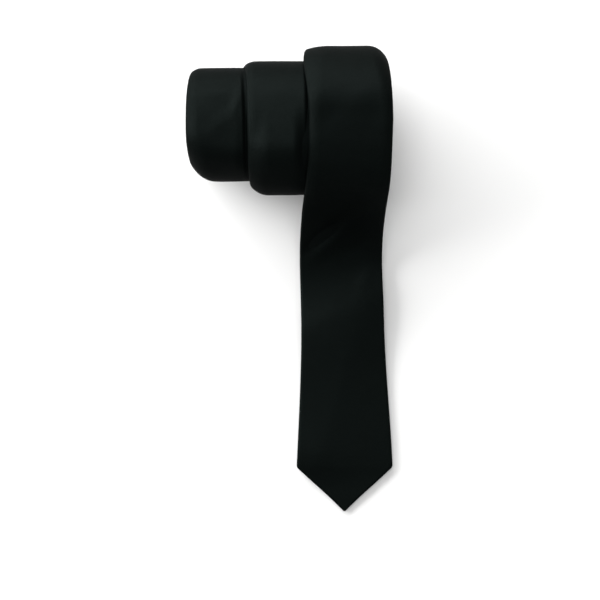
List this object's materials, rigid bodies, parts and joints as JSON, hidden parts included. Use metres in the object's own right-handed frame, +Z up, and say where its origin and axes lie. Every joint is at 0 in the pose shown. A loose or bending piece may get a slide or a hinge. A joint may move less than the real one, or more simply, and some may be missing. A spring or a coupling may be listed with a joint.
{
  "type": "necktie",
  "caption": "Plain slim necktie rolled up from its narrow end, with the pointed front blade running off the roll and lying flat.",
  "frame": {"origin": "middle of the tie's footprint, on the surface that it lies on", "axes": "+Z up; the blade's point is towards -Y and the roll's axis lies along X, with the roll telescoped towards -X"},
  "size_m": [0.1056, 0.238, 0.0622],
  "materials": {
    "shell": "black satin-faced microfibre twill with a soft low sheen",
    "interlining": "brushed off-white wool-blend interlining",
    "tipping": "smooth black lining",
    "thread": "twisted black thread",
    "label": "blank woven label with a satin ground",
    "care_tab": "blank off-white ribbon tab"
  },
  "bodies": {
    "root": {"front_blade_shell": "shell", "neck_shell": "shell", "tail_shell": "shell", "interlining": "interlining", "tail_tipping": "tipping", "tail_hem_stitches": "thread", "slip_stitch": "thread", "tail_bar_tack": "thread", "keeper_loop": "shell", "keeper_loop_stitches": "thread", "maker_label": "label", "maker_label_stitches": "thread", "care_label": "care_tab", "neck_seam_threads": "thread"},
    "free_blade": {"front_blade_free_end": "shell", "interlining_free_end": "interlining", "blade_tipping": "tipping", "blade_hem_stitches": "thread", "slip_stitch_free_end": "thread", "slip_stitch_reserve": "thread", "blade_bar_tack": "thread"}
  },
  "joints": [
    {"name": "blade_lift", "type": "hinge", "parent": "root", "child": "free_blade", "pos_m": [0.0267, -0.0065, 0.0023], "axis": [-1, 0, 0], "range_deg": [0, 75]}
  ]
}
